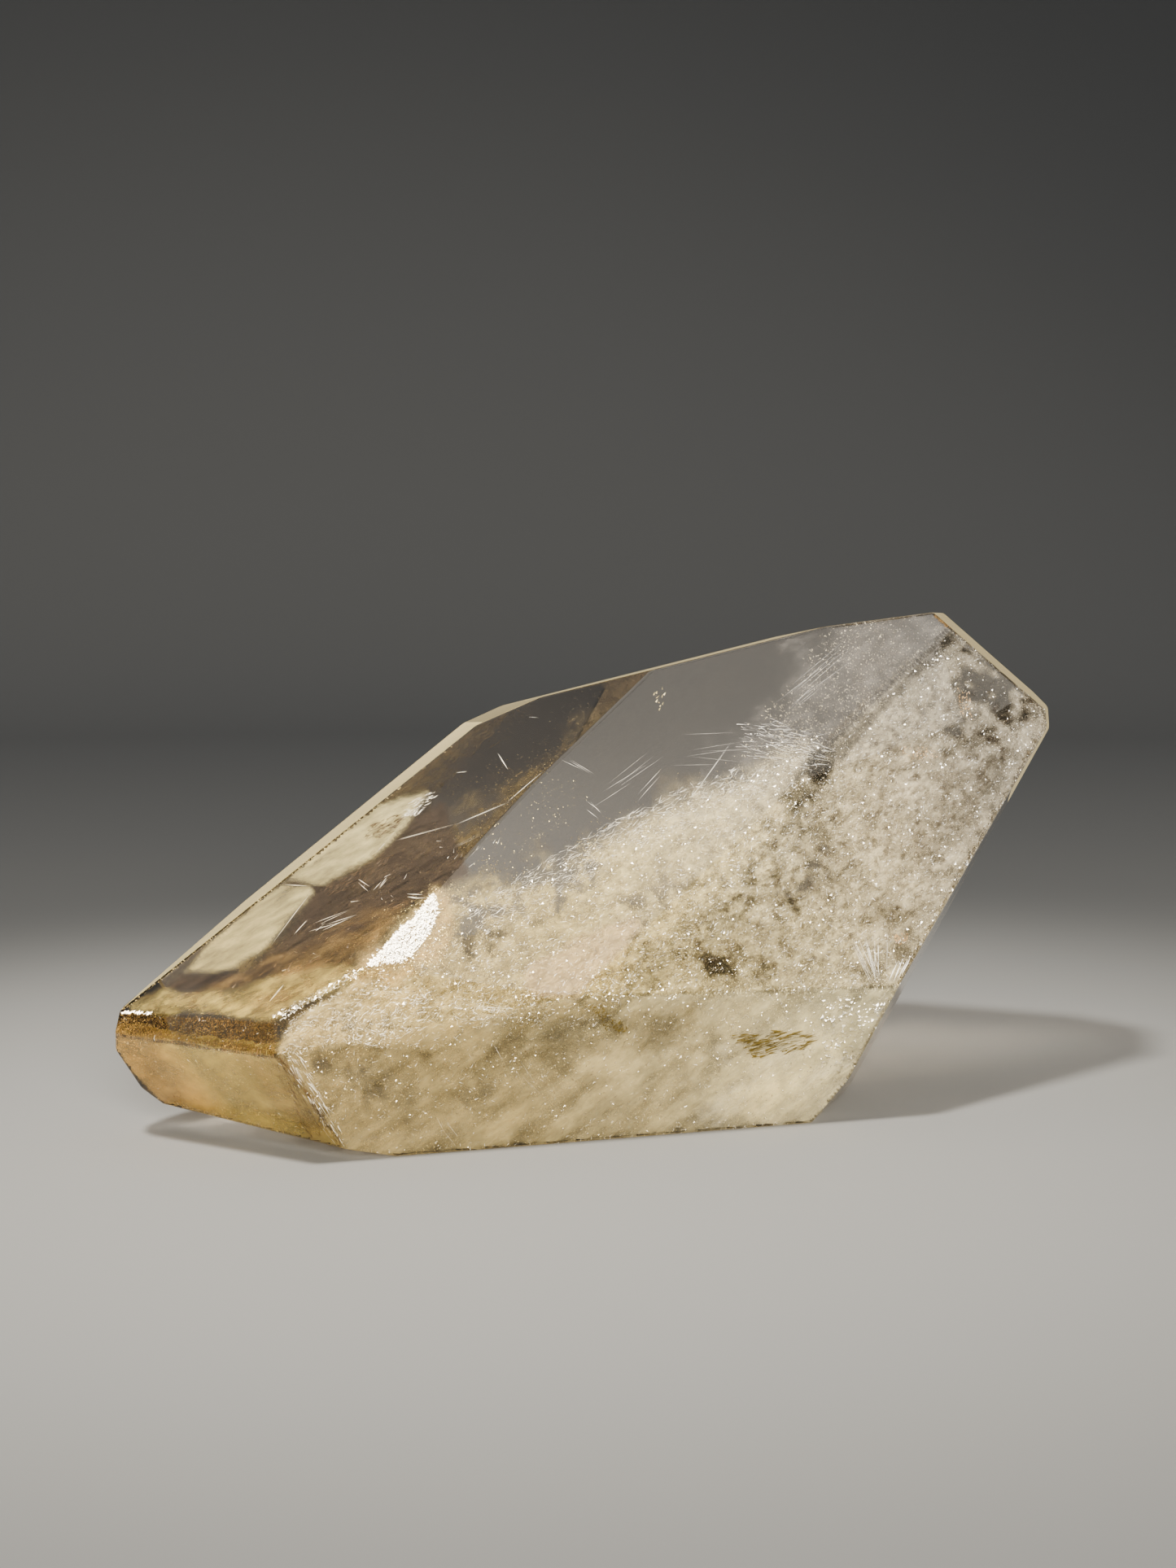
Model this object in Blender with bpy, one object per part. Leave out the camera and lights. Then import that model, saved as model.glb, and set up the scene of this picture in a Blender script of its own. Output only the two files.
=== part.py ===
"""A polished smoky quartz freeform, cut flat facet by flat facet from one rough block.

It is made as a lapidary would make it. Every facet is a plane that cuts the block: the way it faces
is given by an azimuth and an elevation in degrees, and how deep it cuts by its distance in
millimetres from a point on the floor under the stone, the cutting centre. Azimuth 0 faces the
viewer (-Y) and 90 faces right (+X). The stone then gets its polished, slightly rounded edges, and
is placed with the middle of its footprint box on the origin, +Z up.
"""

import math

import bmesh
import bpy
from mathutils import Vector

MM = 0.001

# The rough block and the polish, in millimetres
ROUGH_BLOCK = 200.0
EDGE_POLISH = 0.3
EDGE_STEPS = 2
CORNER_MERGE = 0.45

# The front facets, the broad faces that the viewer sees: name, azimuth, elevation, distance
FRONT_FACETS = (
    ("front_upper_left", 15.5, 29.0, 23.66),
    ("front_upper_right", 19.6, 24.5, 22.81),
    ("front_lower", 18.5, -14.5, 14.1),
    ("front_leaf", 13.55, 19.4, 22.88),
)

# The clear left slope, its corner and the narrow band below it
LEFT_FACETS = (
    ("left_slope", -34.15, 51.4, 33.735),
    ("left_slope_upper", -32.4, 52.85, 34.055),
    ("left_corner", -16.9, 40.7, 33.535),
    ("left_band", -32.9, 35.1, 37.95),
    ("left_lower", -32.9, -35.3, 25.25),
)

# The facets that make the outline: along the top, down the right end and round the left tip
OUTLINE_FACETS = (
    ("left_rim", -83.5, 53.0, 38.29),
    ("left_shoulder", -86.3, 67.15, 40.88),
    ("top_left", -96.0, 76.05, 42.37),
    ("top_right", -104.0, 81.95, 46.0),
    ("right_rim", 77.2, 48.9, 60.6),
    ("right_end", 76.6, 6.8, 49.77),
    ("right_under", 74.6, -27.0, 22.22),
    ("right_heel", 70.7, -38.1, 18.65),
    ("tip_end", -86.6, 8.3, 47.4),
    ("tip_low", -82.0, -28.0, 37.7),
    ("tip_under", -78.0, -52.0, 24.35),
)

# The back, which closes the stone behind, and the underside with the face that it rests on
BACK_FACETS = (
    ("back_main", 210.5, -7.0, 15.5),
    ("back_right", 150.5, 13.0, 54.5),
    ("back_right_lower", 115.0, -35.0, 22.0),
    ("back_left_rim", 261.5, 41.5, 40.5),
    ("back_left_lower", 232.5, -18.5, 25.0),
)
UNDER_FACETS = (
    ("left_under", -49.9, -76.5, 6.39),
    ("rest", 0.0, -90.0, 0.0),
)
FACETS = FRONT_FACETS + LEFT_FACETS + OUTLINE_FACETS + BACK_FACETS + UNDER_FACETS

# The stone's finish
SMOKY_QUARTZ = (0.46, 0.39, 0.31, 1.0)
POLISHED = 0.06
QUARTZ_IOR = 1.544


def clear_scene():
    for scene_object in list(bpy.data.objects):
        bpy.data.objects.remove(scene_object, do_unlink=True)


def facing(azimuth, elevation):
    """The unit vector that a facet faces."""
    turn = math.radians(azimuth)
    lift = math.radians(elevation)
    level = math.cos(lift)
    return Vector((level * math.sin(turn), -level * math.cos(turn), math.sin(lift)))


def cut_facet(stone, azimuth, elevation, distance):
    """Cut away all that lies past one plane, and close the cut with a flat face."""
    normal = facing(azimuth, elevation)
    whole = stone.verts[:] + stone.edges[:] + stone.faces[:]
    cut = bmesh.ops.bisect_plane(
        stone, geom=whole, plane_co=normal * distance, plane_no=normal, clear_outer=True)
    rim = [item for item in cut["geom_cut"] if isinstance(item, bmesh.types.BMEdge)]
    bmesh.ops.contextual_create(stone, geom=rim)


def cut_stone():
    """The rough block with every facet cut, its edges polished, in millimetres."""
    stone = bmesh.new()
    bmesh.ops.create_cube(stone, size=ROUGH_BLOCK)
    for name, azimuth, elevation, distance in FACETS:
        cut_facet(stone, azimuth, elevation, distance)
    bmesh.ops.remove_doubles(stone, verts=stone.verts[:], dist=CORNER_MERGE)
    bmesh.ops.bevel(
        stone, geom=stone.edges[:], offset=EDGE_POLISH, segments=EDGE_STEPS, profile=0.5,
        affect="EDGES", clamp_overlap=True)
    bmesh.ops.recalc_face_normals(stone, faces=stone.faces[:])
    return stone


def footprint_middle(stone):
    """The middle of the stone's box, at the height of the face that it rests on."""
    low = Vector([min(vert.co[axis] for vert in stone.verts) for axis in range(3)])
    high = Vector([max(vert.co[axis] for vert in stone.verts) for axis in range(3)])
    middle = (low + high) / 2
    middle.z = low.z
    return middle


def quartz_material():
    material = bpy.data.materials.new("smoky_quartz")
    material.use_nodes = True
    surface = material.node_tree.nodes["Principled BSDF"]
    surface.inputs["Base Color"].default_value = SMOKY_QUARTZ
    surface.inputs["Roughness"].default_value = POLISHED
    surface.inputs["Metallic"].default_value = 0.0
    surface.inputs["IOR"].default_value = QUARTZ_IOR
    return material


def build_stone():
    stone = cut_stone()
    bmesh.ops.translate(stone, vec=-footprint_middle(stone), verts=stone.verts[:])
    bmesh.ops.scale(stone, vec=(MM, MM, MM), verts=stone.verts[:])
    mesh = bpy.data.meshes.new("quartz_freeform")
    stone.to_mesh(mesh)
    stone.free()
    mesh.materials.append(quartz_material())
    freeform = bpy.data.objects.new("quartz_freeform", mesh)
    bpy.context.scene.collection.objects.link(freeform)
    return freeform


clear_scene()
build_stone()
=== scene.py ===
"""The looks of the smoky quartz freeform: clear smoky glass round the things that grew inside it.

Every inclusion is placed by the pixel of the photograph where it shows. The line of sight is followed
to the facet that it meets, bent there as quartz bends light, and the inclusion is set some way
further in. Lengths are in millimetres until a mesh is made, and picture places in pixels of the frame.
"""

import itertools
import math

import bmesh
import bpy
import numpy as np
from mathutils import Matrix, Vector


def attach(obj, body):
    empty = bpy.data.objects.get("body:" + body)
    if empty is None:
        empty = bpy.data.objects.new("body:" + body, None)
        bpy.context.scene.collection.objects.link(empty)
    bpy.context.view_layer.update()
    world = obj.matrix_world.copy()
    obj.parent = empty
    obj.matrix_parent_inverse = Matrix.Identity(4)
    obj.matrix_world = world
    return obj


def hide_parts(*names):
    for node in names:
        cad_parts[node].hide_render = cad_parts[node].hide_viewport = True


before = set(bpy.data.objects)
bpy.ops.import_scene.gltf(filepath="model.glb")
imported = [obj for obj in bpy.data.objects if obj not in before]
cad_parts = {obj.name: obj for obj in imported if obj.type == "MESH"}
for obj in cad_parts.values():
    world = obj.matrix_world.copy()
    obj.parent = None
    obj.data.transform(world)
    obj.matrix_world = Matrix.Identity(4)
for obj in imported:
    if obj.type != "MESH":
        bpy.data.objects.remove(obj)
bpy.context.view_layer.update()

MM = 0.001
NODE = "quartz_freeform"
TINY = 1e-9
FAR = 1e9

# The camera, as the photograph was taken
IMAGE_SIZE = (1445, 1927)
LENS = 50.0
SENSOR = 36.0
CAMERA_PLACE = (-2.677, -229.162, 51.1)
CAMERA_PITCH = 4.5
FOCAL_PIXELS = LENS / SENSOR * IMAGE_SIZE[1]

# Quartz: how it bends light and takes it up, and how it tints the lamps' light that goes through it
IOR = 1.544
SMOKE_COLOUR = (0.51, 0.445, 0.365, 1.0)
SMOKE_DENSITY = 33.0
LIGHT_INSIDE = (0.92, 0.89, 0.84, 1.0)
LIGHT_UNDER_STONE = (0.20, 0.165, 0.135, 1.0)

# How far most inclusions keep from the facets
SKIN = 0.3

# Where the key lamp stands and aims, in metres: the sparkles are turned to it
KEY_PLACE = (-0.17, -0.21, 0.55)
KEY_AIM = (-0.014, -0.009, 0.012)


# Small helpers

def new_object(name, data):
    """A new object in the scene."""
    scene_object = bpy.data.objects.new(name, data)
    bpy.context.scene.collection.objects.link(scene_object)
    return scene_object


def unit(vectors):
    return vectors / np.linalg.norm(vectors, axis=-1, keepdims=True)


def smooth_step(low, high, value):
    part = np.clip((value - low) / (high - low), 0, 1)
    return part * part * (3 - 2 * part)


# What stirs a lattice point's place and a seed into a random value
SEED_PRIME = 2654435761
AXIS_PRIMES = (73856093, 19349663, 83492791)
STIR_FACTOR = np.uint64(2246822519)
STIR_STEP = np.uint64(374761393)
STIR_SHIFT = np.uint64(15)
WORD = 0xFFFFFFFF
VALUE_STEPS = 0xFFFFFF


def lattice_value(cell, seed):
    """One random value from 0 to 1 for each lattice point."""
    mixed = np.full(len(cell), seed * SEED_PRIME % (WORD + 1), dtype=np.uint64)
    for axis, prime in zip(range(cell.shape[1]), AXIS_PRIMES):
        mixed = mixed ^ (cell[:, axis].astype(np.int64).astype(np.uint64) * np.uint64(prime))
        mixed = (mixed * STIR_FACTOR + STIR_STEP) & np.uint64(WORD)
        mixed ^= mixed >> STIR_SHIFT
    return (mixed & np.uint64(VALUE_STEPS)).astype(float) / VALUE_STEPS


def value_noise(points, scale, seed):
    """Smooth noise from 0 to 1, with one random value for each lattice point."""
    places = points / scale
    cell = np.floor(places)
    part = places - cell
    part = part * part * (3 - 2 * part)
    total = np.zeros(len(points))
    for corner in itertools.product((0, 1), repeat=points.shape[1]):
        weight = np.ones(len(points))
        for axis, side in enumerate(corner):
            weight = weight * (part[:, axis] if side else 1 - part[:, axis])
        total += weight * lattice_value(cell + np.array(corner), seed)
    return total


OCTAVE_WEIGHT = 0.55
OCTAVE_SEEDS = 17


def rough_noise(points, scale, seed, octaves=4):
    """Several sizes of noise added up, from 0 to 1."""
    total, weight, top = np.zeros(len(points)), 1.0, 0.0
    for octave in range(octaves):
        total += weight * value_noise(points, scale / 2 ** octave, seed + OCTAVE_SEEDS * octave)
        top += weight
        weight *= OCTAVE_WEIGHT
    return total / top


def edge_distance(points, polygon):
    """How far each picture point lies inside a polygon, in pixels: negative outside it."""
    corners = np.array(polygon, float)
    nearest = np.full(len(points), FAR)
    inside = np.zeros(len(points), bool)
    for start, end in zip(corners, np.roll(corners, -1, axis=0)):
        along = end - start
        part = np.clip(((points - start) @ along) / (along @ along), 0, 1)
        nearest = np.minimum(nearest, np.linalg.norm(points - start - part[:, None] * along, axis=1))
        if start[1] != end[1]:
            crosses = (points[:, 1] > start[1]) != (points[:, 1] > end[1])
            reach = start[0] + (points[:, 1] - start[1]) * (end[0] - start[0]) / (end[1] - start[1])
            inside ^= crosses & (points[:, 0] < reach)
    return np.where(inside, nearest, -nearest)


# The stone, and where the lines of sight run in it

# In metres, degrees and square metres: nearer points are one, faces that meet flatter are one facet,
# and a larger face is a facet and no polished edge
SAME_POINT = 0.000002
SAME_FACET = 0.4
FACET_AREA = 2.5e-6


def polished_copy(node):
    """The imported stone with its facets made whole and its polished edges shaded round."""
    work = bmesh.new()
    work.from_mesh(node.data)
    bmesh.ops.remove_doubles(work, verts=work.verts[:], dist=SAME_POINT)
    bmesh.ops.dissolve_limit(
        work, angle_limit=math.radians(SAME_FACET), verts=work.verts[:], edges=work.edges[:])
    mesh = bpy.data.meshes.new("smoky_quartz")
    work.to_mesh(mesh)
    work.free()
    mesh.shade_smooth()
    copy = new_object("smoky_quartz", mesh)
    normals = copy.modifiers.new("facet_normals", "WEIGHTED_NORMAL")
    normals.weight = 100
    normals.keep_sharp = False
    return copy


stone = polished_copy(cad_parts[NODE])
facets = [face for face in stone.data.polygons if face.area > FACET_AREA]
FACET_NORMALS = np.array([face.normal for face in facets])
FACET_DISTANCES = np.array([face.normal.dot(face.center) for face in facets]) / MM


def sight_lines(pixels):
    """The camera's place, and the direction in which each pixel looks."""
    right = (pixels[:, 0] - IMAGE_SIZE[0] / 2) / FOCAL_PIXELS
    up = (IMAGE_SIZE[1] / 2 - pixels[:, 1]) / FOCAL_PIXELS
    pitch = math.radians(CAMERA_PITCH)
    ahead = math.cos(pitch) + up * math.sin(pitch)
    rise = up * math.cos(pitch) - math.sin(pitch)
    return np.array(CAMERA_PLACE), unit(np.stack([right, ahead, rise], 1))


JUST_INSIDE = 0.01


def follow(pixels):
    """Where each line of sight enters the stone, how it runs on inside, and how far it gets."""
    eye, looks = sight_lines(pixels)
    closing = looks @ FACET_NORMALS.T
    gap = FACET_DISTANCES - FACET_NORMALS @ eye
    travel = gap / np.where(abs(closing) < TINY, TINY, closing)
    enter = np.where(closing < 0, travel, -FAR)
    leave = np.where(closing > 0, travel, FAR).min(1)
    hit = enter.max(1) < leave
    place = eye + looks * enter.max(1)[:, None]
    normal = FACET_NORMALS[enter.argmax(1)]
    straight = -(looks * normal).sum(1)
    bent = np.sqrt(1 - (1 - straight ** 2) / IOR ** 2)
    inward = unit(looks / IOR + (straight / IOR - bent)[:, None] * normal)
    return hit, place, inward, length_inside(place + inward * JUST_INSIDE, inward)


def length_inside(places, ways):
    """How far it is from each place to the far side of the stone."""
    closing = ways @ FACET_NORMALS.T
    gap = FACET_DISTANCES - places @ FACET_NORMALS.T
    return np.where(closing > TINY, gap / np.where(closing > TINY, closing, 1), FAR).min(1)


def clearance(places):
    """How far each place is from the nearest facet, inside the stone."""
    return (FACET_DISTANCES - places @ FACET_NORMALS.T).min(1)


def set_in(pixels, depths, skin=SKIN):
    """The places at these depths behind these pixels, and which of them lie well in the stone.

    A negative depth is counted back from where the line of sight meets the far side.
    """
    hit, place, inward, length = follow(pixels)
    depths = np.where(depths < 0, depths + length, depths)
    places = place + inward * depths[:, None]
    return places, hit & (depths > 0) & (depths < length - skin) & (clearance(places) > skin)


# Making meshes

def new_piece(name, points, material):
    """A mesh piece of loose triangles, from their corners in millimetres."""
    mesh = bpy.data.meshes.new(name)
    mesh.vertices.add(len(points))
    mesh.vertices.foreach_set("co", (points * MM).astype(np.float32).ravel())
    mesh.loops.add(len(points))
    mesh.loops.foreach_set("vertex_index", np.arange(len(points), dtype=np.int32))
    mesh.polygons.add(len(points) // 3)
    mesh.polygons.foreach_set("loop_start", np.arange(0, len(points), 3, dtype=np.int32))
    mesh.update(calc_edges=True)
    finish_piece(name, mesh, material)


def finish_piece(name, mesh, material):
    """Put a mesh in the scene as a piece of the stone."""
    mesh.materials.append(material)
    piece = new_object(name, mesh)
    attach(piece, "root")


# A flake's corners, as turns from its long way, and how much each varies in turn and reach
FLAKE_CORNERS = (0.0, 2.1, 4.2)
CORNER_TURN = 0.25
CORNER_REACH = (0.75, 1.25)

# The corners round a needle's waist, and where along the needle the waist can be
WAIST_CORNERS = (0.0, 2 * math.pi / 3, 4 * math.pi / 3)
WAIST_PLACE = (0.35, 0.65)


def flakes(places, ways, sides, lengths, widths, rng):
    """Three-sided flakes round these places, long along their ways and flat to way and side."""
    corners = []
    for turn in FLAKE_CORNERS:
        angle = turn + rng.normal(scale=CORNER_TURN, size=len(places))
        reach = rng.uniform(*CORNER_REACH, len(places))
        corners.append(places + ways * (np.cos(angle) * lengths * reach / 2)[:, None]
                       + sides * (np.sin(angle) * widths * reach / 2)[:, None])
    return np.stack(corners, 1).reshape(-1, 3)


def any_side(ways, rng):
    """For each way a random way square to it."""
    return unit(np.cross(ways, unit(rng.normal(size=ways.shape))))


def needles(starts, ends, widths, rng):
    """Thin needles with pointed ends and three sides."""
    ways = unit(ends - starts)
    side = any_side(ways, rng)
    up = np.cross(ways, side)
    waist = starts + (ends - starts) * rng.uniform(*WAIST_PLACE, (len(starts), 1))
    ring = []
    for turn in WAIST_CORNERS:
        ring.append(waist + (side * math.cos(turn) + up * math.sin(turn)) * widths[:, None] / 2)
    faces = []
    for here, after in ((0, 1), (1, 2), (2, 0)):
        faces += [starts, ring[after], ring[here], ends, ring[here], ring[after]]
    return np.stack(faces, 1).reshape(-1, 3)


# Materials

def set_inputs(node, values):
    """Give a node's inputs these values, or link them where the value is another node's output."""
    for socket, value in values.items():
        if isinstance(value, bpy.types.NodeSocket):
            node.id_data.links.new(value, node.inputs[socket])
        else:
            node.inputs[socket].default_value = value


def new_material(name):
    """A new material with its surface node, its node tree and its output node."""
    material = bpy.data.materials.new(name)
    material.use_nodes = True
    tree = material.node_tree
    return material, tree.nodes["Principled BSDF"], tree, tree.nodes["Material Output"]


def add(tree, kind, values=None, **settings):
    """A new shader node with these inputs and settings."""
    node = tree.nodes.new("ShaderNode" + kind)
    for setting, value in settings.items():
        setattr(node, setting, value)
    set_inputs(node, values or {})
    return node


def ramp(tree, factor, stops):
    """A colour ramp over a factor, from its stops of position and colour."""
    band = add(tree, "ValToRGB", {0: factor})
    elements = band.color_ramp.elements
    while len(elements) < len(stops):
        elements.new(0.5)
    for element, (position, colour) in zip(elements, stops):
        element.position = position
        element.color = (*colour, 1.0)
    return band.outputs[0]


def noise(tree, way, scale, detail, roughness=0.5):
    """Noise over a way through the piece."""
    values = {"Vector": way, "Scale": scale, "Detail": detail, "Roughness": roughness}
    return add(tree, "TexNoise", values).outputs["Fac"]


def mixed_shader(tree, share, first, second):
    """Two shaders mixed, with this share of the second."""
    return add(tree, "MixShader", {"Fac": share, 1: first, 2: second}).outputs["Shader"]


# The faint waves left in the polish: strength, depth in metres and noise scale
WAVES = {"Strength": 0.25, "Distance": 0.0001}
WAVE_SCALE = 45.0


def quartz_glass():
    """Clear polished quartz, which takes up light inside and lets the lamps reach the inclusions."""
    material, glass, tree, output = new_material("smoky_quartz_glass")
    place = add(tree, "TexCoord").outputs["Object"]
    waves = add(tree, "Bump", {**WAVES, "Height": noise(tree, place, WAVE_SCALE, 1.0)})
    set_inputs(glass, {"Base Color": (1.0, 1.0, 1.0, 1.0), "Roughness": 0.0, "IOR": IOR,
                       "Transmission Weight": 1.0, "Normal": waves.outputs["Normal"]})
    side = add(tree, "NewGeometry").outputs["Backfacing"]
    passed = add(tree, "Mix", data_type="RGBA")
    set_inputs(passed, {"Factor": side, "A": LIGHT_UNDER_STONE, "B": LIGHT_INSIDE})
    clear = add(tree, "BsdfTransparent", {"Color": passed.outputs["Result"]}).outputs["BSDF"]
    shadow = add(tree, "LightPath").outputs["Is Shadow Ray"]
    smoke = add(tree, "VolumeAbsorption", {"Color": SMOKE_COLOUR, "Density": SMOKE_DENSITY})
    set_inputs(output, {"Surface": mixed_shader(tree, shadow, glass.outputs["BSDF"], clear),
                        "Volume": smoke.outputs["Volume"]})
    return material


# The way from the stone's low tip to its high end, and the run of the colour stops on it, in metres
ALONG_STONE = (0.86, 0.0, 0.52)
STOPS_RUN = {"From Min": -0.048, "From Max": 0.052}

# The noise values between which a patch goes from dark to full colour
PATCH_DARK = 0.40
PATCH_FULL = 0.58

# How a veil's streaks lie and are drawn out, and how deep its crumples are
STREAKS = {"Rotation": (0.0, -math.radians(35), 0.0), "Scale": (2.6, 1.0, 1.0)}
CRUMPLE_DEPTH = 1.2


def inclusion(name, stops, patch_scale=260.0, dark=0.75, through=0.5, rough=0.5, metallic=0.0,
              cover=None, crumpled=1.0):
    """Milky stuff that glows with light from both its sides, in colours that run along the stone. Some
    of these materials paint light, shade or reflections in as colour.

    The stops give the colours, dark the share of them left in the darkest patches, and through the
    share of light from behind. A cover makes it a thin streaky veil: it gives the noise scale, the
    noise between which the veil grows from its least to its most, and its thickness at the two.
    """
    material, front, tree, output = new_material(name)
    place = add(tree, "TexCoord").outputs["Object"]
    along = add(tree, "VectorMath", {0: place, 1: ALONG_STONE}, operation="DOT_PRODUCT")
    spread = add(tree, "MapRange", {"Value": along.outputs["Value"], **STOPS_RUN})
    colour = ramp(tree, spread.outputs["Result"], stops)
    patch = noise(tree, place, patch_scale, 6.0)
    shade = ramp(tree, patch, [(PATCH_DARK, (dark,) * 3), (PATCH_FULL, (1.0,) * 3)])
    tinted = add(tree, "Mix", data_type="RGBA", blend_type="MULTIPLY")
    set_inputs(tinted, {"Factor": 1.0, "A": colour, "B": shade})
    tint = tinted.outputs["Result"]
    set_inputs(front, {"Base Color": tint, "Roughness": rough, "Metallic": metallic})
    back = add(tree, "BsdfTranslucent", {"Color": tint})
    surface = mixed_shader(tree, through, front.outputs["BSDF"], back.outputs["BSDF"])
    if cover is not None:
        fine_scale, low, high, least, thick = cover
        streaks = add(tree, "Mapping", {"Vector": place, **STREAKS}, vector_type="TEXTURE")
        fine = noise(tree, streaks.outputs["Vector"], fine_scale, 5.0, 0.62)
        crumple = add(tree, "Bump", {"Strength": crumpled, "Distance": CRUMPLE_DEPTH / fine_scale,
                                     "Height": fine}).outputs["Normal"]
        set_inputs(front, {"Specular IOR Level": 0.0, "Normal": crumple})
        set_inputs(back, {"Normal": crumple})
        pattern = ramp(tree, fine, [(low, (least,) * 3), (high, (thick,) * 3)])
        reach = add(tree, "Attribute", attribute_name="reach").outputs["Fac"]
        amount = add(tree, "Math", {0: pattern, 1: reach}, operation="MULTIPLY").outputs[0]
        clear = add(tree, "BsdfTransparent").outputs["BSDF"]
        surface = mixed_shader(tree, amount, clear, surface)
    set_inputs(output, {"Surface": surface})
    return material


# The colours of what lies inside, along the stone from its tip to its high end, and of the painted
# light, shade and reflections set among it
CLOUD_STOPS = [
    (0, (0.86, 0.62, 0.3)), (0.25, (0.86, 0.7, 0.37)), (0.42, (0.86, 0.74, 0.42)),
    (0.55, (0.86, 0.75, 0.42)), (0.72, (0.93, 0.85, 0.6)), (0.86, (0.92, 0.85, 0.66)),
    (1, (0.76, 0.72, 0.62))]
# Lighter towards the stone's high end; the lightest end is partly painted light
LOWER_STOPS = [
    (0.2, (0.72, 0.6, 0.32)), (0.42, (0.78, 0.67, 0.38)), (0.6, (0.98, 0.89, 0.6)),
    (0.75, (1, 0.95, 0.7))]
HAZE_STOPS = [(0, (0.56, 0.53, 0.48)), (1, (0.58, 0.56, 0.54))]
OLIVE_STOPS = [(0, (0.34, 0.28, 0.15)), (1, (0.3, 0.26, 0.16))]
STAIN_STOPS = [(0, (0.17, 0.12, 0.02)), (1, (0.155, 0.115, 0.02))]
TIP_STOPS = [
    (0.1, (0.88, 0.6, 0.2)), (0.15, (0.88, 0.64, 0.24)), (0.19, (0.86, 0.71, 0.28)),
    (0.27, (0.84, 0.69, 0.28)), (0.32, (0.62, 0.42, 0.22)), (0.6, (0.8, 0.6, 0.32))]
GOLD_STOPS = [(0, (0.66, 0.46, 0.18)), (0.25, (0.6, 0.4, 0.16)), (1, (0.55, 0.38, 0.18))]
BROWN_STOPS = [(0, (0.2, 0.12, 0.05)), (0.5, (0.14, 0.09, 0.04)), (1, (0.1, 0.08, 0.06))]
WHITE_STOPS = [(0, (0.98, 0.92, 0.78)), (0.5, (0.98, 0.96, 0.9)), (1, (0.95, 0.97, 1))]
# Nearly black: the dark speckles' own colour, and the painted shade of the dark sheets in the left
# slope
SPECKS_AND_PAINTED_SHADE_STOPS = [(0, (0.085, 0.058, 0.036)), (1, (0.07, 0.056, 0.045))]
# Painted reflection: the lit floor seen through the left slope, painted as cream
PAINTED_WINDOW_STOPS = [(0.15, (0.6, 0.5, 0.24)), (0.45, (0.82, 0.74, 0.44))]
GREY_STOPS = [(0, (0.24, 0.18, 0.1)), (1, (0.18, 0.16, 0.15))]
PEACH_STOPS = [(0, (0.96, 0.74, 0.5)), (1, (0.96, 0.76, 0.52))]
# Painted light: near-white cream that lights up the lower face's high end
PAINTED_LIGHT_STOPS = [(0, (1, 0.94, 0.72)), (1, (1, 0.95, 0.76))]
# Painted light: the golden halo round the flash
PAINTED_HALO_STOPS = [(0, (0.96, 0.7, 0.34)), (1, (0.96, 0.74, 0.4))]
STRAW_STOPS = [(0, (0.8, 0.66, 0.26)), (1, (0.78, 0.62, 0.26))]
CORNER_STOPS = [(0, (0.48, 0.3, 0.14)), (1, (0.44, 0.28, 0.14))]
YELLOW_STOPS = [(0, (0.9, 0.7, 0.25)), (1, (0.92, 0.84, 0.52))]
# Golden rim colour: partly the rim's own colour, partly a painted reflection of the light behind the
# rims
PAINTED_RIM_STOPS = [(0, (0.86, 0.66, 0.3)), (0.3, (0.84, 0.74, 0.46)), (1, (0.72, 0.52, 0.26))]
ORANGE_STOPS = [(0, (0.7, 0.42, 0.2)), (1, (0.8, 0.58, 0.36))]

# The grains, flakes and mirrors
cloud_grains = inclusion("milky_grains", CLOUD_STOPS)
lower_grains = inclusion("cream_grains", LOWER_STOPS)
gold_grains = inclusion("golden_iron", GOLD_STOPS, dark=0.4)
tip_grains = inclusion("peach_grains", TIP_STOPS, dark=0.6)
brown_grains = inclusion("brown_iron", BROWN_STOPS, through=0.2)
smoke_grains = inclusion("smoky_grains", GREY_STOPS, through=0.3)
# Golden grains under the rims: partly painted reflection of the light behind them
painted_rim_grains = inclusion("painted_rim_grains", PAINTED_RIM_STOPS, dark=0.8)
olive_grains = inclusion("olive_iron", STAIN_STOPS, dark=0.8, through=0.2)
orange_grains = inclusion("orange_iron", ORANGE_STOPS)
yellow_grains = inclusion("yellow_flakes", YELLOW_STOPS, dark=0.9, rough=0.3)
white_grains = inclusion("bright_flakes", WHITE_STOPS, dark=0.92, through=0.4, rough=0.3)
mirror_grains = inclusion(
    "mirror_flakes", WHITE_STOPS, dark=0.95, through=0.25, rough=0.22, metallic=1)
flash_mirrors = inclusion(
    "flash_mirrors", WHITE_STOPS, dark=0.98, through=0.04, rough=0.15, metallic=1)
gold_mirrors = inclusion(
    "golden_mirrors", YELLOW_STOPS, dark=0.8, through=0.2, rough=0.25, metallic=1)

# The veils
cloud_veil = inclusion(
    "milky_veil", CLOUD_STOPS, dark=0.68, patch_scale=600, cover=(1100, 0.38, 0.62, 0.1, 0.72))
thin_veil = inclusion("thin_veil", HAZE_STOPS, dark=0.85, cover=(800, 0.4, 0.7, 0.05, 0.3))
olive_veil = inclusion("olive_stain", OLIVE_STOPS, dark=0.7, cover=(900, 0.4, 0.66, 0.05, 0.45))
dark_veil = inclusion("dark_speckles", SPECKS_AND_PAINTED_SHADE_STOPS, through=0.2, cover=(1400, 0.52, 0.68, 0, 0.5))
# Dark brown sheets in the left slope: painted shade, the dark seen through the clear quartz painted in
# as colour
painted_shade_veil = inclusion(
    "painted_dark_sheet", SPECKS_AND_PAINTED_SHADE_STOPS, through=0.35, dark=0.9, cover=(120, 0, 0.35, 0, 0.8))
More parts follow.
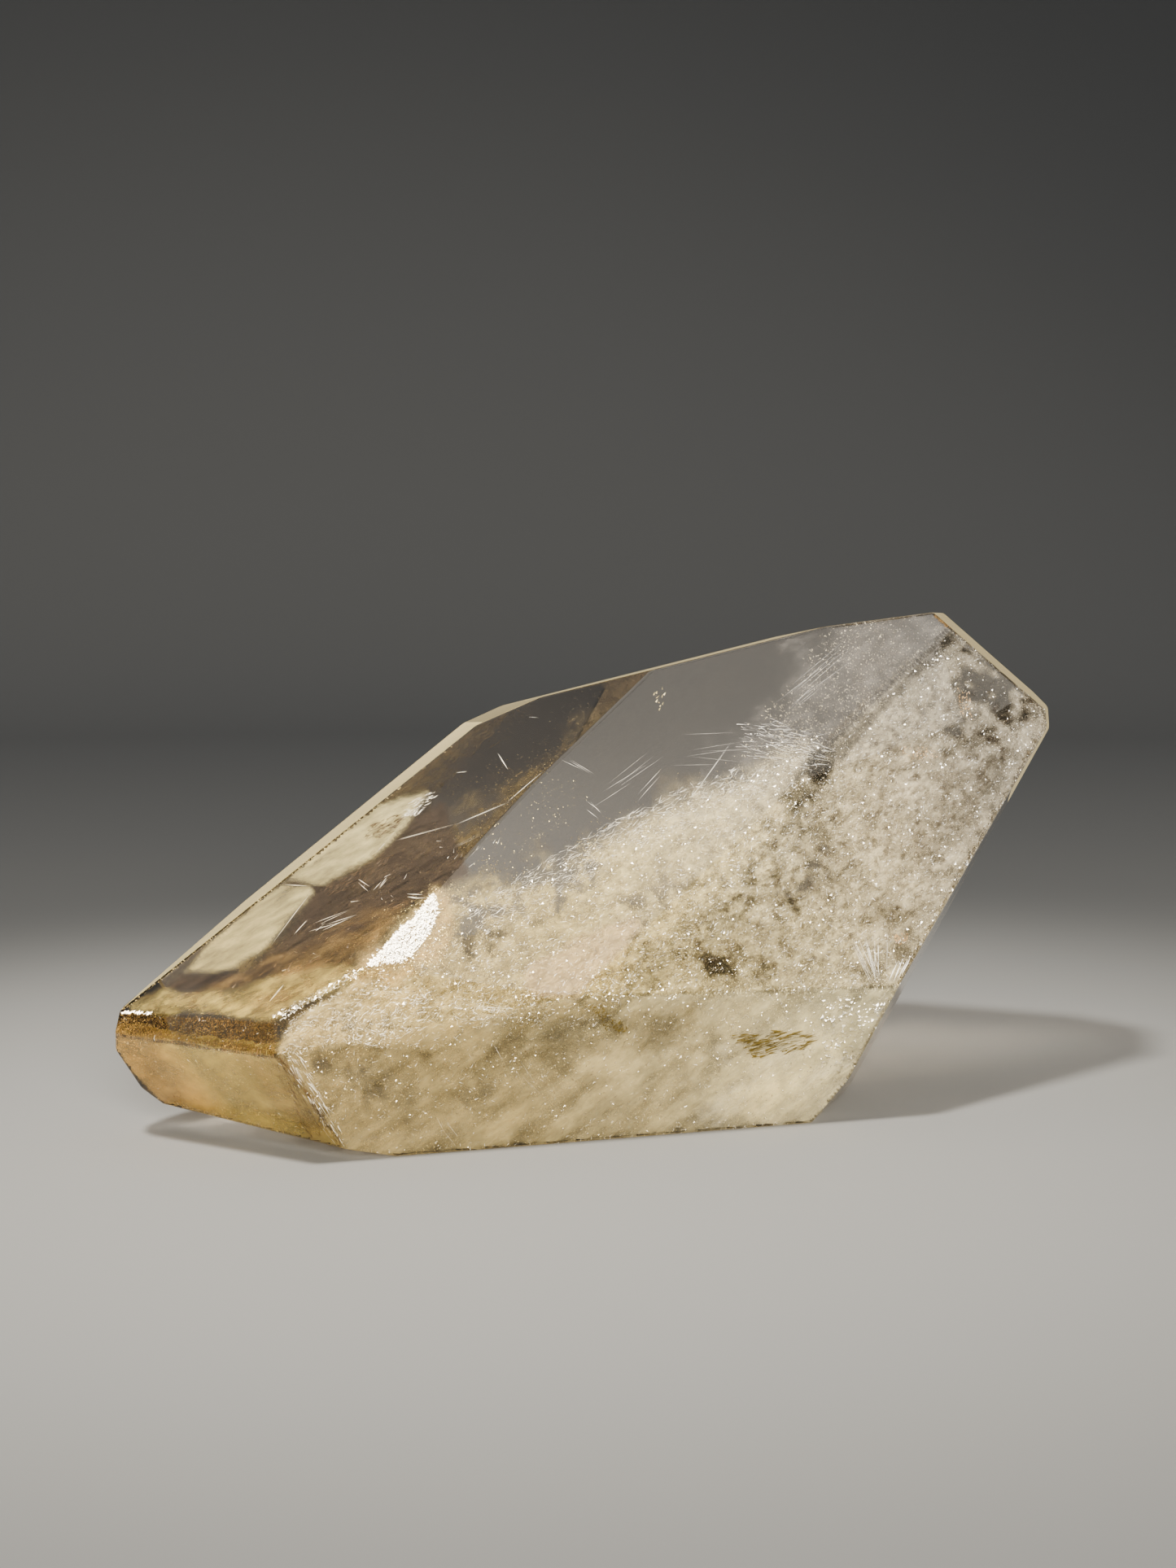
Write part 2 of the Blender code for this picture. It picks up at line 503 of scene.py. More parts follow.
# Cream sheets 1 mm inside the left slope: painted reflection of the lit floor seen through it
painted_window_light = inclusion(
    "painted_window_light", PAINTED_WINDOW_STOPS, dark=0.85, patch_scale=160, cover=(500, 0.3, 0.6, 0.3, 0.92),
    crumpled=0.3)
straw_veil = inclusion(
    "straw_veil", STRAW_STOPS, dark=0.55, patch_scale=420, cover=(700, 0.36, 0.6, 0.1, 0.75))
corner_veil = inclusion(
    "brown_corner", CORNER_STOPS, dark=0.6, patch_scale=500, cover=(600, 0.36, 0.64, 0, 0.6))
# A golden sheet round the flash: painted light, the flash's halo painted in as colour
painted_halo_veil = inclusion("painted_golden_halo", PAINTED_HALO_STOPS, dark=0.95, cover=(1300, 0.3, 0.62, 0.1, 0.5))
peach_veil = inclusion("peach_cloud", PEACH_STOPS, dark=0.95, cover=(150, 0, 0.5, 0.25, 0.35))
lower_veil = inclusion(
    "cream_veil", LOWER_STOPS, dark=0.7, patch_scale=430,
    cover=(430, 0.36, 0.64, 0.08, 0.62), crumpled=0.3)
# A near-white sheet under the lower face's high end: painted light, the light in the stone painted in
# as colour
painted_light_veil = inclusion(
    "painted_light_veil", PAINTED_LIGHT_STOPS, dark=0.93, patch_scale=600, cover=(700, 0.36, 0.62, 0.16, 0.86),
    crumpled=0.5)
tip_veil = inclusion(
    "tip_veil", TIP_STOPS, dark=0.8, cover=(300, 0.34, 0.62, 0.16, 0.62), crumpled=0.15)
gold_veil = inclusion("golden_veil", GOLD_STOPS, dark=0.5, cover=(420, 0.4, 0.66, 0, 0.55))

stone.data.materials.append(quartz_glass())
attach(stone, "root")
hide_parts(NODE)


# Places in the picture, in its pixels

RIGHT_FACET = [(706, 1226), (992, 948), (1171, 772), (1284, 872), (1286, 894), (1104, 1213)]
MIDDLE_CLOUD = [
    (443, 1190), (500, 1128), (560, 1096), (640, 1090), (740, 1035), (820, 995), (900, 962),
    (985, 925), (1035, 960), (735, 1262), (560, 1262), (430, 1215)]
PEACH_PATCH = [(650, 1185), (700, 1160), (778, 1138), (712, 1222), (648, 1216)]
LOWER_FACET = [
    (996, 1381), (1042, 1327), (1104, 1213), (706, 1226), (634, 1240), (340, 1298), (425, 1413),
    (490, 1422)]
LEAF = [
    (340, 1296), (353, 1257), (394, 1231), (443, 1205), (514, 1216), (560, 1230), (634, 1245),
    (527, 1290), (423, 1283)]
UPPER_HAZE = [
    (1010, 962), (880, 962), (910, 905), (970, 850), (1020, 760), (1146, 745), (1195, 775)]
# Outline of the lower painted window: lit floor seen through the slope, painted in
PAINTED_WINDOW_LOWER = [
    (348, 1086), (379, 1090), (385, 1096), (340, 1150), (318, 1168), (290, 1186), (262, 1194),
    (228, 1194), (262, 1152), (318, 1104)]
STRAW = [(168, 1238), (200, 1222), (300, 1216), (420, 1188), (443, 1193), (338, 1254)]
CORNER_BROWN = [(290, 1296), (344, 1298), (424, 1408), (385, 1400), (335, 1350)]
TIP_GLARE = [(150, 1242), (188, 1244), (188, 1247), (150, 1245)]
WINDOW_STAIN = [(448, 1030), (455, 1014), (490, 1000), (497, 1008), (478, 1028)]
# White slivers in the upper window: a painted highlight
PAINTED_WINDOW_HIGHLIGHT = [(492, 1006), (503, 986), (532, 972), (537, 978), (513, 1002)]
WINDOW_FIBRES = [(396, 1090), (420, 1072), (462, 1042), (484, 1052), (445, 1088), (405, 1100)]
SHIMMER = [(662, 972), (702, 985), (660, 1050), (585, 1112), (552, 1098)]
# Outline of the upper painted window
PAINTED_WINDOW_UPPER = [
    (350, 1082), (392, 1046), (455, 992), (526, 974), (505, 1006), (458, 1056), (400, 1086)]
RIGHT_INNER = [(760, 1210), (1000, 990), (1150, 830), (1250, 880), (1090, 1195)]
LEFT_TIP = [(141, 1274), (340, 1300), (425, 1413), (200, 1357), (141, 1290)]
LEFT_BAND = [(147, 1242), (338, 1256), (340, 1298), (141, 1269)]
RIDGE_GOLD = [
    (180, 1232), (250, 1212), (310, 1204), (400, 1140), (520, 1095), (440, 1188), (338, 1254)]
FEATHER_EDGE = [
    (560, 1120), (640, 1075), (740, 1015), (820, 975), (900, 945), (985, 940), (930, 985),
    (840, 1020), (760, 1060), (680, 1110), (600, 1150)]
EDGE_SHADOW = [
    (990, 948), (1171, 772), (1180, 784), (1112, 850), (1060, 906), (1012, 962), (996, 966)]
WHITE_LINES = [(905, 890), (960, 885), (1020, 905), (1018, 942), (985, 948), (920, 930)]
LEFT_RIM = [(150, 1241), (299, 1110), (568, 891), (584, 893), (304, 1119), (162, 1234)]
# Where dark sheets paint shade into the left slope
PAINTED_SHADE_MIDDLE = [
    (392, 1092), (400, 1086), (458, 1056), (505, 1006), (545, 985), (575, 1075), (470, 1132),
    (400, 1165), (310, 1202), (347, 1150)]
PAINTED_SHADE_LINE = [(336, 1082), (383, 1088), (398, 1084), (386, 1098), (338, 1090)]
PAINTED_SHADE_TIP = [(178, 1236), (224, 1197), (305, 1197), (350, 1178), (300, 1212), (225, 1216)]
RIGHT_RIM = [(1149, 757), (1171, 771), (1284, 871), (1284, 862)]
OLIVE_STAIN = [
    (640, 1250), (706, 1232), (860, 1230), (850, 1262), (760, 1292), (660, 1302), (600, 1290)]
# Where the lower face's high end gets painted light
PAINTED_LIGHT_LOWER_RIGHT = [
    (860, 1350), (940, 1295), (1020, 1240), (1098, 1222), (1042, 1327), (996, 1380), (880, 1388)]
END_GLINTS = [(1010, 1228), (1092, 1226), (1062, 1288), (1036, 1322), (1008, 1310)]
DARK_SLOPE = [
    (430, 1100), (520, 1040), (600, 1000), (620, 1040), (540, 1105), (450, 1130), (390, 1190),
    (330, 1200)]
FLASH = [
    (533, 1100), (537, 1118), (531, 1142), (515, 1166), (498, 1182), (478, 1184), (442, 1192),
    (470, 1165), (505, 1128)]
FLASH_HALO = [
    (534, 1096), (549, 1106), (549, 1145), (530, 1180), (500, 1198), (468, 1200), (440, 1196)]
BEADS = [(334, 1250), (345, 1240), (380, 1222), (436, 1192), (441, 1200), (392, 1226), (345, 1256)]
CORNER_CRACKS = [(345, 1300), (372, 1300), (425, 1400), (408, 1406)]
CORNER_STAIN = [(330, 1300), (350, 1298), (420, 1405), (380, 1398)]
STAIN_STREAKS = [(900, 1272), (960, 1266), (1002, 1272), (985, 1292), (925, 1300)]
STAIN_SPOT = [(725, 1236), (742, 1236), (752, 1252), (774, 1260), (768, 1268), (745, 1266)]
TIP_SPOT = [(185, 1338), (222, 1342), (226, 1356), (196, 1354)]
ORANGE_UPPER = [(1176, 845), (1192, 850), (1196, 885), (1180, 880)]
ORANGE_MIDDLE = [(1108, 918), (1150, 918), (1152, 936), (1110, 936)]
ORANGE_LOW = [(1098, 1148), (1116, 1146), (1114, 1160), (1100, 1160)]
YELLOW_GROUP = [(802, 846), (815, 846), (818, 856), (812, 874), (804, 870)]

# Where the clouds let the dark inside show: middle, radius, and how much cloud is left there
DARK_GAPS = (
    (985, 978, 26, 0.3), (1012, 1042, 16, 0.15), (1000, 1060, 18, 0.1), (986, 1084, 20, 0.1),
    (968, 1108, 18, 0.1), (952, 1124, 12, 0.2), (930, 1102, 12, 0.3), (1004, 1078, 34, 0.5),
    (870, 1180, 16, 0.15), (880, 1196, 22, 0.1), (900, 1202, 14, 0.2), (908, 1178, 14, 0.3),
    (945, 1190, 20, 0.2), (585, 1136, 40, 0.1), (640, 1112, 28, 0.3), (785, 1112, 22, 0.3),
    (820, 1090, 26, 0.3), (1000, 950, 20, 0.2), (1010, 1030, 24, 0.4), (700, 1070, 40, 0.1),
    (655, 1080, 34, 0.1), (1100, 1130, 30, 0.4), (1065, 1195, 22, 0.4), (1110, 1170, 22, 0.3),
    (1228, 846, 84, 0.05), (1255, 880, 26, 0.3), (1192, 905, 44, 0.35), (1212, 962, 46, 0.35),
    (1180, 1000, 34, 0.45), (1150, 800, 46, 0.6), (1140, 1040, 50, 0.6), (740, 1262, 26, 0.6),
    (690, 1275, 44, 0.6), (620, 1300, 34, 0.6), (820, 1255, 30, 0.6), (480, 1330, 40, 0.6),
    (430, 1318, 20, 0.35), (398, 1308, 16, 0.35), (458, 1346, 20, 0.35), (568, 1343, 14, 0.4),
    (520, 1300, 18, 0.45), (600, 1330, 22, 0.5), (880, 1290, 30, 0.6),
)

# What makes the gaps ragged: noise size in pixels, seed and octaves, and how far it moves an edge
WOBBLE_NOISE = (14, 77, 3)
GAP_WOBBLE = 2.4
SHADOW_WOBBLE = 8

# A gap's edge in shares of its radius, and that of the shadow line in pixels, with its strength
GAP_EDGE = (0.3, 1.1)
SHADOW_EDGE = (-3, 4)
SHADOW_STRENGTH = 0.8


def gap_share(pixels):
    """How much of a cloud is left at each pixel: little in the ragged dark gaps, else 1."""
    wobble = rough_noise(pixels, *WOBBLE_NOISE) - 0.5
    share = np.ones(len(pixels))
    for x, y, radius, left in DARK_GAPS:
        away = np.hypot(pixels[:, 0] - x, pixels[:, 1] - y) / radius + wobble * GAP_WOBBLE
        share = np.minimum(share, left + (1 - left) * smooth_step(*GAP_EDGE, away))
    edge = edge_distance(pixels, EDGE_SHADOW) + wobble * SHADOW_WOBBLE
    return share * (1 - SHADOW_STRENGTH * smooth_step(*SHADOW_EDGE, edge))


# A soft outline wanders by this many feathers, in waves of this many pixels
RAGGEDNESS = 5
SCATTER_WAVES = 46
MARGIN_FEATHERS = 4
LEAST_FEATHER = 0.01

# The size of a patchy cloud's lumps and how soft they are, and how places crowd at the near depths
LUMP_SIZE = 5
LUMP_EDGE = (0.25, 0.15)
CROWDING = 1.6
BATCH = 400


def scatter(outline, count, depth, feather, seed, rng, skin, patchiness=None, gaps=True):
    """Random places behind an outline, thinned in the gaps, at the edge and where noise is low."""
    corners = np.array(outline, float)
    margin = MARGIN_FEATHERS * feather
    soft = feather + LEAST_FEATHER
    low, high = corners.min(0) - margin, corners.max(0) + margin
    found = [np.empty((0, 2)), np.empty(0), np.empty((0, 3))]
    while len(found[1]) < count:
        pixels = rng.uniform(low, high, (max(count * 2, BATCH), 2))
        near = edge_distance(pixels, corners)
        pixels, near = pixels[near > -margin], near[near > -margin]
        ragged = (rough_noise(pixels, SCATTER_WAVES, seed) - 0.5) * RAGGEDNESS * feather
        chance = smooth_step(-soft, soft, near + ragged)
        if gaps:
            chance = chance * gap_share(pixels)
        depths = depth[0] + (depth[1] - depth[0]) * rng.random(len(pixels)) ** CROWDING
        places, fits = set_in(pixels, depths, skin)
        if patchiness is not None:
            lumps = rough_noise(places, LUMP_SIZE, seed + 3)
            chance = chance * smooth_step(
                patchiness - LUMP_EDGE[0], patchiness + LUMP_EDGE[1], lumps)
        kept = fits & (rng.random(len(pixels)) < chance)
        found = [np.concatenate([old, new[kept]]) for old, new in zip(found, (pixels, depths, places))]
    return [values[:count] for values in found]


# Grains: clouds of fine flakes

# Name, outline, number, depths, soft edge, patchiness, size, distance from facets and material
GRAINS = (
    ("grains_right", RIGHT_FACET, 46000, (0.35, 8), 3, 0.42, 0.12, SKIN, cloud_grains),
    ("grains_middle", MIDDLE_CLOUD, 36000, (0.35, 6.5), 20, 0.42, 0.12, SKIN, cloud_grains),
    ("grains_lower", LOWER_FACET, 20000, (0.35, 8), 2, 0.4, 0.12, SKIN, lower_grains),
    ("grains_back", RIGHT_FACET, 30000, (-0.4, -9), 14, 0.42, 0.12, SKIN, cloud_grains),
    ("grains_back_middle", MIDDLE_CLOUD, 14000, (-0.4, -6), 24, 0.42, 0.12, SKIN, cloud_grains),
    ("grains_back_lower", LOWER_FACET, 10000, (-0.4, -6), 6, 0.42, 0.12, SKIN, lower_grains),
    ("grains_leaf", LEAF, 5000, (0.35, 2), 4, 0.36, 0.13, SKIN, white_grains),
    ("grains_upper", UPPER_HAZE, 3000, (0.8, 9), 18, 0.5, 0.13, SKIN, cloud_grains),
    ("grains_tip", LEFT_TIP, 5000, (0.35, 6), 2, 0.45, 0.13, SKIN, tip_grains),
    ("grains_band", LEFT_BAND, 5000, (0.3, 2.5), 2, 0.42, 0.09, 0.35, brown_grains),
    ("grains_band_gold", LEFT_BAND, 5000, (0.3, 3), 2, 0.42, 0.09, 0.35, gold_grains),
    # Golden grains under the left and right rims: partly painted reflection of the rim light
    ("painted_rim_grains_left", LEFT_RIM, 2200, (0.15, 1.6), 1, None, 0.1, 0.15, painted_rim_grains),
    ("painted_rim_grains_right", RIGHT_RIM, 1200, (0.2, 0.8), 1, None, 0.2, 0.15, gold_grains),
)

# A grain's width against its size, and its length against its width
GRAIN_WIDTH = (0.5, 1.6)
GRAIN_LENGTH = (1, 2)
FIRST_GRAIN_SEED = 11

for seed, row in enumerate(GRAINS, FIRST_GRAIN_SEED):
    name, outline, count, depth, feather, patchiness, size, skin, material = row
    rng = np.random.default_rng(seed)
    places = scatter(outline, count, depth, feather, seed, rng, skin, patchiness)[2]
    ways = unit(rng.normal(size=places.shape))
    widths = size * rng.uniform(*GRAIN_WIDTH, count)
    sides = any_side(ways, rng)
    lengths = widths * rng.uniform(*GRAIN_LENGTH, count)
    new_piece(name, flakes(places, ways, sides, lengths, widths, rng), material)


# Veils: thin crumpled sheets that follow the facets at several depths, most of them milky, some of
# them painted light or painted shade

# In pixels: how far a veil's mesh goes past its outline, and the size of its waves and billows
VEIL_MARGIN = 20
VEIL_WAVES = 60
BILLOW_SIZE = 90

# A veil's depth wanders by this share, counted from a little outside the facet
CRUMPLE = 0.35
CRUMPLE_START = 0.6

# How near a veil comes to the facet before and behind it and to any other, and where it fades out
NEAREST_FRONT = 0.08
NEAREST_BACK = 0.3
VEIL_SKIN = 0.03
EDGE_FADE = 0.16

# The noise between which a billow rises, the veil's thickness between billows, and what one adds
BILLOW_EDGE = (0.25, 0.55)
BETWEEN_BILLOWS = 0.7
BILLOW_ADDS = 0.3

# A mesh square this many times too long jumps from facet to facet and is left out
JUMP = 3
PIXELS_PER_MM = 12
LEAST_REACH = 0.02


def veil(name, outline, depth, feather, seed, material, step, gaps):
    """One sheet behind an outline, with an attribute that says how much is left at each point."""
    corners = np.array(outline, float)
    low, high = corners.min(0) - VEIL_MARGIN, corners.max(0) + VEIL_MARGIN
    across, down = np.arange(low[0], high[0], step), np.arange(low[1], high[1], step)
    pixels = np.stack(np.meshgrid(across, down), -1).reshape(-1, 2)
    wave = CRUMPLE * 2 * (rough_noise(pixels, VEIL_WAVES, seed) - 0.5) * (abs(depth) + CRUMPLE_START)
    nearest = NEAREST_FRONT if depth > 0 else NEAREST_BACK
    depths = np.sign(depth) * np.maximum(abs(depth) + wave, nearest)
    places, fits = set_in(pixels, depths, VEIL_SKIN)
    ragged = (rough_noise(pixels, VEIL_WAVES, seed + 5) - 0.5) * RAGGEDNESS * feather
    reach = smooth_step(-feather, feather, edge_distance(pixels, corners) + ragged)
    if gaps:
        billows = smooth_step(*BILLOW_EDGE, rough_noise(pixels, BILLOW_SIZE, seed + 9))
        thickness = BETWEEN_BILLOWS + BILLOW_ADDS * billows
        reach = reach * gap_share(pixels) * thickness
    reach = reach * smooth_step(0, EDGE_FADE, clearance(places))
    number = np.arange(len(pixels)).reshape(len(down), len(across))
    quads = np.stack([number[:-1, :-1], number[1:, :-1], number[1:, 1:], number[:-1, 1:]], -1)
    quads = quads.reshape(-1, 4)
    jumps = np.ptp(places[quads], axis=1).max(1) > JUMP * step / PIXELS_PER_MM
    quads = quads[fits[quads].all(1) & (reach[quads].max(1) > LEAST_REACH) & ~jumps]
    used, place_in_used = np.unique(quads, return_inverse=True)
    mesh = bpy.data.meshes.new(name)
    mesh.from_pydata((places[used] * MM).tolist(), [], place_in_used.reshape(-1, 4).tolist())
    mesh.shade_smooth()
    layer = mesh.attributes.new("reach", "FLOAT", "POINT")
    layer.data.foreach_set("value", reach[used].astype(np.float32))
    finish_piece(name, mesh, material)


# Part, outline, depths, softness of the edge, material, and whether the dark gaps are left open
VEILS = (
    ("right", RIGHT_FACET, (0.35, 1.4, 3, 5), 2, cloud_veil, True),
    ("middle", MIDDLE_CLOUD, (0.35, 1.4, 3, 5), 16, cloud_veil, True),
    ("lower", LOWER_FACET, (0.3, 1, 2.4, 4.5), 1, lower_veil, True),
    ("back_right", RIGHT_FACET, (-0.5, -2, -5), 14, cloud_veil, True),
    ("back_middle", MIDDLE_CLOUD, (-0.5, -2.5), 24, cloud_veil, True),
    ("back_lower", LOWER_FACET, (-0.5, -2), 10, lower_veil, True),
    # Painted light at the lower face's high end
    ("painted_light_lower_right", PAINTED_LIGHT_LOWER_RIGHT, (0.35, 0.9), 26, painted_light_veil, False),
    ("leaf", LEAF, (0.4, 1.1), 4, cloud_veil, False),
    ("upper", UPPER_HAZE, (1, 4), 30, thin_veil, True),
    ("tip", LEFT_TIP, (0.2, 1, 2.6), 2, tip_veil, False),
    ("ridge", RIDGE_GOLD, (0.8, 2.4), 8, gold_veil, False),
    ("peach", PEACH_PATCH, (0.3,), 8, peach_veil, False),
    ("dark_right", RIGHT_INNER, (0.3,), 12, dark_veil, False),
    ("dark_band", LEFT_BAND, (0.4,), 1, dark_veil, False),
    ("olive", OLIVE_STAIN, (0.2,), 12, olive_veil, False),
    ("straw", STRAW, (0.3, 1), 5, straw_veil, False),
    ("corner", CORNER_BROWN, (0.25,), 6, corner_veil, False),
    # The two painted windows: painted reflection of the lit floor
    ("painted_window_lower", PAINTED_WINDOW_LOWER, (1,), 3, painted_window_light, False),
    ("painted_window_upper", PAINTED_WINDOW_UPPER, (1,), 3, painted_window_light, False),
    # Dark sheets: painted shade
    ("painted_shade_middle", PAINTED_SHADE_MIDDLE, (1.4,), 3, painted_shade_veil, False),
    ("painted_shade_line", PAINTED_SHADE_LINE, (1.2,), 1, painted_shade_veil, False),
    ("painted_shade_tip", PAINTED_SHADE_TIP, (1.2,), 4, painted_shade_veil, False),
    # Painted halo of light round the flash
    ("glow", FLASH_HALO, (0.3,), 11, painted_halo_veil, False),
)
VEIL_SEED = 40
VEIL_SEED_STEP = 7


def mesh_step(depth):
    """The width of a veil's mesh squares in pixels: fine just under a facet and at the far side."""
    return 3 if depth < 0.31 else 4 if depth < 1.1 else 6


for part, outline, depths, feather, material, gaps in VEILS:
    for number, depth in enumerate(depths):
        name = f"veil_{part}_{number + 1}" if len(depths) > 1 else f"veil_{part}"
        seed = VEIL_SEED + VEIL_SEED_STEP * number
        veil(name, outline, depth, feather, seed, material, mesh_step(depth), gaps)


# Slivers and specks, each in the way it lies in the picture

SMALL_SKIN = 0.12
LOOK_AHEAD = 6


def picture_ways(pixels, depths, angles):
    """The way inside the stone that shows as this angle in the picture, in degrees from the right."""
    turn = np.radians(angles)
    ahead = pixels + LOOK_AHEAD * np.stack([np.cos(turn), -np.sin(turn)], 1)
    return unit(set_in(ahead, depths)[0] - set_in(pixels, depths)[0])


# Name, outline, number, depths, lengths, widths, angle, its spread and material
SLIVERS = (
    ("slivers_right", RIGHT_FACET, 5000, (0.15, 1.5), (0.2, 0.7), (0.05, 0.13), 38, 32, white_grains),
    ("slivers_middle", MIDDLE_CLOUD, 4500, (0.15, 1.5), (0.2, 0.8), (0.05, 0.13), 28, 30,
     white_grains),
    ("slivers_feather", FEATHER_EDGE, 1500, (0.4, 4), (0.4, 1.8), (0.04, 0.1), 28, 24,
     white_grains),
    ("slivers_lower", LOWER_FACET, 1300, (0.15, 1.5), (0.2, 0.7), (0.05, 0.13), 50, 45, white_grains),
    ("slivers_leaf", LEAF, 700, (0.15, 0.6), (0.3, 1), (0.05, 0.14), 20, 30, white_grains),
    ("dark_slivers_right", RIGHT_FACET, 7000, (0.12, 0.8), (0.15, 0.5), (0.05, 0.11), 38, 40,
     smoke_grains),
    ("dark_slivers_middle", MIDDLE_CLOUD, 4200, (0.12, 0.8), (0.15, 0.5), (0.05, 0.11), 28, 40,
     smoke_grains),
    ("dark_slivers_lower", LOWER_FACET, 1500, (0.12, 0.5), (0.15, 0.5), (0.05, 0.11), 50, 50,
     smoke_grains),
    ("slivers_ridge", RIDGE_GOLD, 420, (0.5, 3.5), (0.4, 2), (0.06, 0.2), 28, 20, brown_grains),
    ("slivers_slope", DARK_SLOPE, 60, (0.6, 4), (0.4, 1.3), (0.05, 0.1), 40, 35, white_grains),
    ("slivers_band", LEFT_BAND, 40, (0.4, 1), (0.2, 0.6), (0.06, 0.14), 60, 60, white_grains),
    ("white_lines", WHITE_LINES, 260, (0.4, 2), (0.6, 2.6), (0.03, 0.08), -8, 12, white_grains),
    ("beads", BEADS, 260, (0.2, 0.9), (0.2, 0.5), (0.1, 0.25), 30, 40, white_grains),
    ("tip_streaks", LEFT_TIP, 320, (0.15, 1), (0.5, 2), (0.04, 0.11), -32, 12, gold_grains),
    ("tip_glints", LEFT_TIP, 160, (0.15, 1), (0.2, 0.5), (0.04, 0.12), -32, 30, white_grains),
    ("window_stain", WINDOW_STAIN, 150, (0.3, 0.8), (0.4, 1.2), (0.08, 0.16), 28, 12, brown_grains),
    # Painted highlight in the upper window
    ("painted_window_highlight", PAINTED_WINDOW_HIGHLIGHT, 160, (0.4, 0.8), (0.3, 1), (0.06, 0.16), 28, 12, white_grains),
    ("window_fibres", WINDOW_FIBRES, 300, (0.4, 0.9), (0.3, 1.1), (0.03, 0.08), 36, 10, brown_grains),
    ("straw_streaks", STRAW, 300, (0.2, 1), (0.4, 1.8), (0.04, 0.1), 12, 10, brown_grains),
    ("straw_lights", STRAW, 200, (0.2, 1), (0.4, 1.4), (0.04, 0.1), 14, 12, yellow_grains),
    ("corner_white", CORNER_CRACKS, 90, (0.12, 0.3), (0.6, 2.4), (0.06, 0.16), -58, 8, white_grains),
    ("corner_brown", CORNER_STAIN, 220, (0.12, 0.5), (0.6, 2.6), (0.06, 0.16), -56, 9, brown_grains),
    ("stain_streaks", STAIN_STREAKS, 150, (0.12, 0.2), (0.8, 2.4), (0.12, 0.26), 14, 8, olive_grains),
    ("stain_spot", STAIN_SPOT, 130, (0.12, 0.3), (0.2, 0.6), (0.12, 0.3), 60, 50, olive_grains),
    ("tip_spot", TIP_SPOT, 160, (0.12, 0.5), (0.2, 0.5), (0.1, 0.2), 0, 40, gold_grains),
    ("orange_upper", ORANGE_UPPER, 90, (0.12, 0.8), (0.15, 0.4), (0.08, 0.2), 60, 50, orange_grains),
    ("orange_middle", ORANGE_MIDDLE, 110, (0.12, 0.8), (0.15, 0.4), (0.08, 0.2), 0, 50, orange_grains),
    ("orange_low", ORANGE_LOW, 70, (0.12, 0.5), (0.15, 0.4), (0.08, 0.2), 0, 50, orange_grains),
    ("yellow_group", YELLOW_GROUP, 14, (0.5, 0.9), (0.3, 0.6), (0.15, 0.3), 70, 20, yellow_grains),
)

# The slivers that leave the dark gaps open
GAPPED_SLIVERS = ("slivers_right", "slivers_middle", "slivers_lower")
FIRST_SLIVER_SEED = 61

for seed, row in enumerate(SLIVERS, FIRST_SLIVER_SEED):
    name, outline, count, depth, lengths, widths, angle, spread, material = row
    rng = np.random.default_rng(seed)
    gaps = name in GAPPED_SLIVERS
    pixels, depths, places = scatter(outline, count, depth, 0, seed, rng, SMALL_SKIN, gaps=gaps)
    ways = picture_ways(pixels, depths, rng.normal(angle, spread, count))
    points = flakes(places, ways, any_side(ways, rng), rng.uniform(*lengths, count),
                    rng.uniform(*widths, count), rng)
    new_piece(name, points, material)


SPECKS_SEED = 91
SPECKS_PER_PIXEL = 5
SPECKS_TOP_RADIUS = 26
SPECKS_SPREAD = 0.52
SPECKS_DEPTH = (0.15, 1)
SPECKS_WIDTH = (0.06, 0.16)
SPECKS_LENGTH = 1.4


def dark_specks():
    """Small dark grains in and round the dark gaps."""
    rng = np.random.default_rng(SPECKS_SEED)
    pixels = []
    for x, y, radius, left in DARK_GAPS:
        count = int(min(radius, SPECKS_TOP_RADIUS) * SPECKS_PER_PIXEL * (1 - left))
        away = rng.normal(scale=radius * SPECKS_SPREAD, size=(count, 2))
        pixels.append(np.array([x, y]) + away)
    pixels = np.concatenate(pixels)
    places, fits = set_in(pixels, rng.uniform(*SPECKS_DEPTH, len(pixels)), SMALL_SKIN)
    places = places[fits]
    ways = unit(rng.normal(size=places.shape))
    widths = rng.uniform(*SPECKS_WIDTH, len(places))
    sides = any_side(ways, rng)
    points = flakes(places, ways, sides, widths * SPECKS_LENGTH, widths, rng)
    new_piece("dark_specks", points, brown_grains)


dark_specks()

# Name, outline, number, depths, size, spread of the turn, material, seed and softness of the edge
SPARKLES = (
    ("sparkles_right", RIGHT_FACET, 1700, (0.12, 0.7), 0.16, 0.14, mirror_grains, 101, 0),
    ("sparkles_middle", MIDDLE_CLOUD, 1500, (0.12, 0.7), 0.16, 0.14, mirror_grains, 102, 0),
    ("sparkles_lower", LOWER_FACET, 1500, (0.1, 0.4), 0.15, 0.12, mirror_grains, 103, 0),
    ("sparkles_end", END_GLINTS, 200, (0.1, 0.3), 0.32, 0.1, mirror_grains, 110, 0),
    ("sparkles_beads", BEADS, 60, (0.15, 0.6), 0.25, 0.06, mirror_grains, 104, 0),
    ("tip_glare", TIP_GLARE, 60, (0.1, 0.3), 0.2, 0.06, mirror_grains, 108, 0),
    ("shimmer", SHIMMER, 1500, (0.12, 0.8), 0.06, 0.35, gold_mirrors, 109, 16),
    ("sparkles_lines", WHITE_LINES, 30, (0.6, 2), 0.16, 0.08, mirror_grains, 105, 0),
    ("flash", FLASH, 4200, (0.12, 0.8), 0.2, 0.012, flash_mirrors, 106, 2),
    ("flash_halo", FLASH_HALO, 4200, (0.12, 0.6), 0.07, 0.2, gold_mirrors, 107, 10),
)
SPARKLE_SKIN = 0.08
SPARKLE_LENGTH = 1.3

